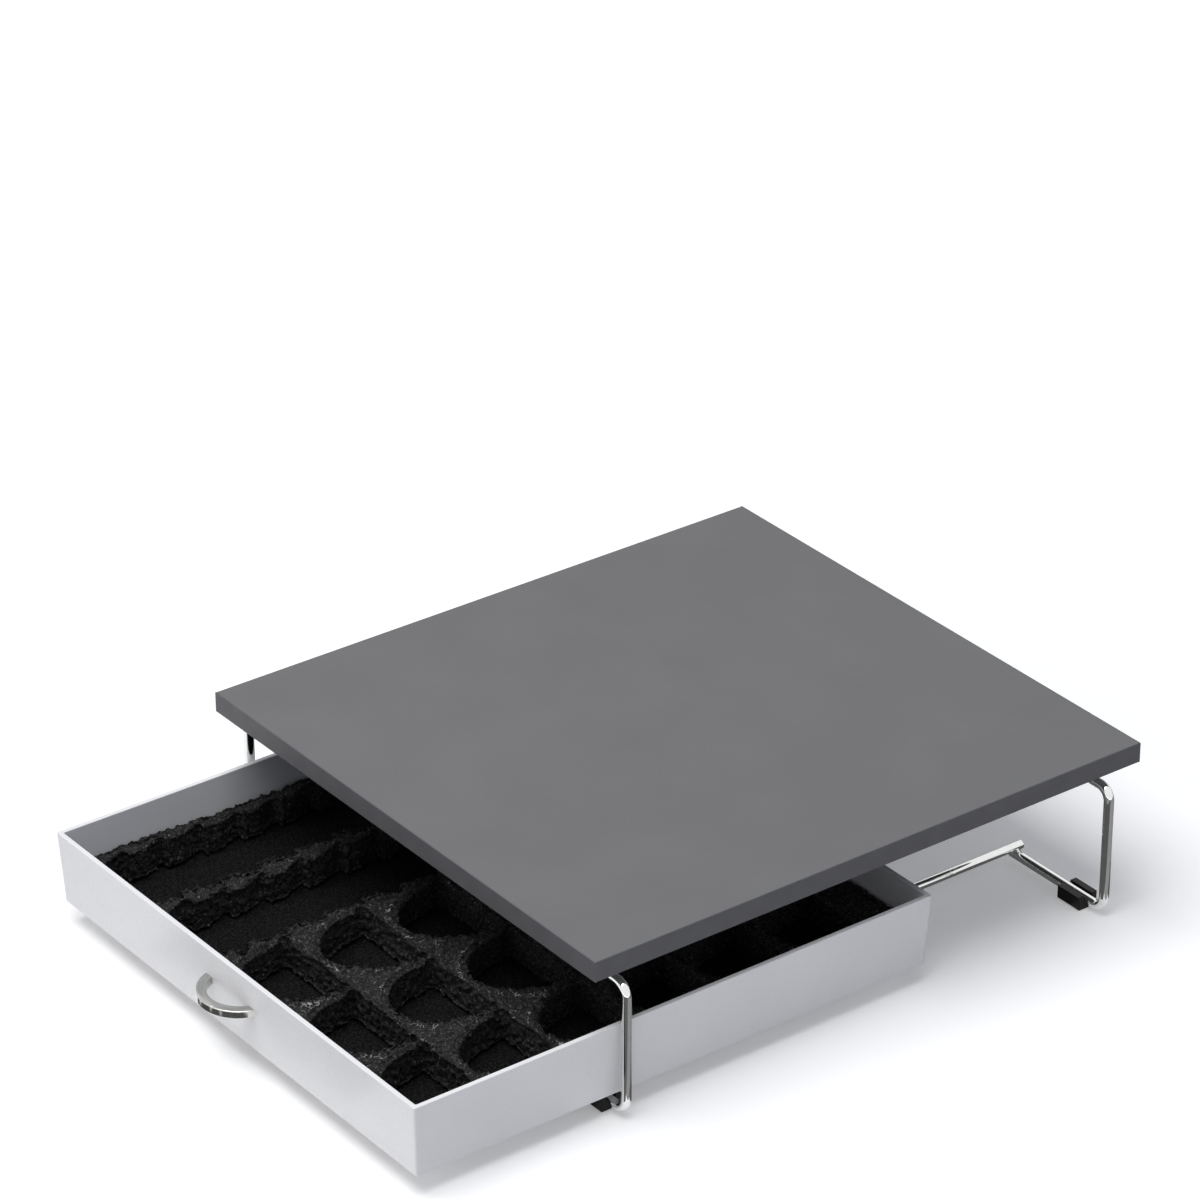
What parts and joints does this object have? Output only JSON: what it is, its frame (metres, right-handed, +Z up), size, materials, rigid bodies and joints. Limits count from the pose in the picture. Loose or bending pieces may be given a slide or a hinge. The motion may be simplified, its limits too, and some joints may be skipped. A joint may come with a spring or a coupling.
{
  "type": "coffee pod drawer",
  "caption": "Grey board on chrome wire legs, with a white drawer that slides under it on wire rails and holds coffee pods upright in a black foam insert.",
  "frame": {"origin": "middle of the whole plan, with the drawer as modelled, on the surface the feet stand on", "axes": "+X to the right seen from the front, +Y from the drawer's front to the back, +Z up"},
  "size_m": [0.3684, 0.518, 0.1089],
  "materials": {
    "board_laminate": "matt grey laminate",
    "edge_band": "matt dark grey",
    "chrome_wire": "polished",
    "chrome_handle": "polished",
    "foot_rubber": "black satin",
    "clamp_plastic": "black satin",
    "screw_steel": "zinc plated",
    "tray_plastic": "white satin",
    "foam": "coarse open foam",
    "hook_plastic": "black satin"
  },
  "bodies": {
    "stand": {"top_board": "board_laminate", "front_edge_band": "edge_band", "rear_edge_band": "edge_band", "left_edge_band": "edge_band", "right_edge_band": "edge_band", "front_leg_loop": "chrome_wire", "rear_leg_loop": "chrome_wire", "left_rail": "chrome_wire", "right_rail": "chrome_wire", "rail_welds": "chrome_wire", "front_left_foot": "foot_rubber", "front_right_foot": "foot_rubber", "rear_left_foot": "foot_rubber", "rear_right_foot": "foot_rubber", "front_left_clamp": "clamp_plastic", "front_right_clamp": "clamp_plastic", "rear_left_clamp": "clamp_plastic", "rear_right_clamp": "clamp_plastic", "clamp_screws": "screw_steel"},
    "drawer": {"drawer_tray": "tray_plastic", "bow_handle": "chrome_handle", "handle_screws": "screw_steel", "foam_insert": "foam", "foam_base_sheet": "foam", "front_left_hook": "hook_plastic", "front_right_hook": "hook_plastic", "rear_left_hook": "hook_plastic", "rear_right_hook": "hook_plastic", "hook_screws": "screw_steel"}
  },
  "joints": [
    {"name": "drawer_slide", "type": "slide", "parent": "stand", "child": "drawer", "axis": [0, -1, 0], "range_m": [-0.1284, 0.135]}
  ]
}
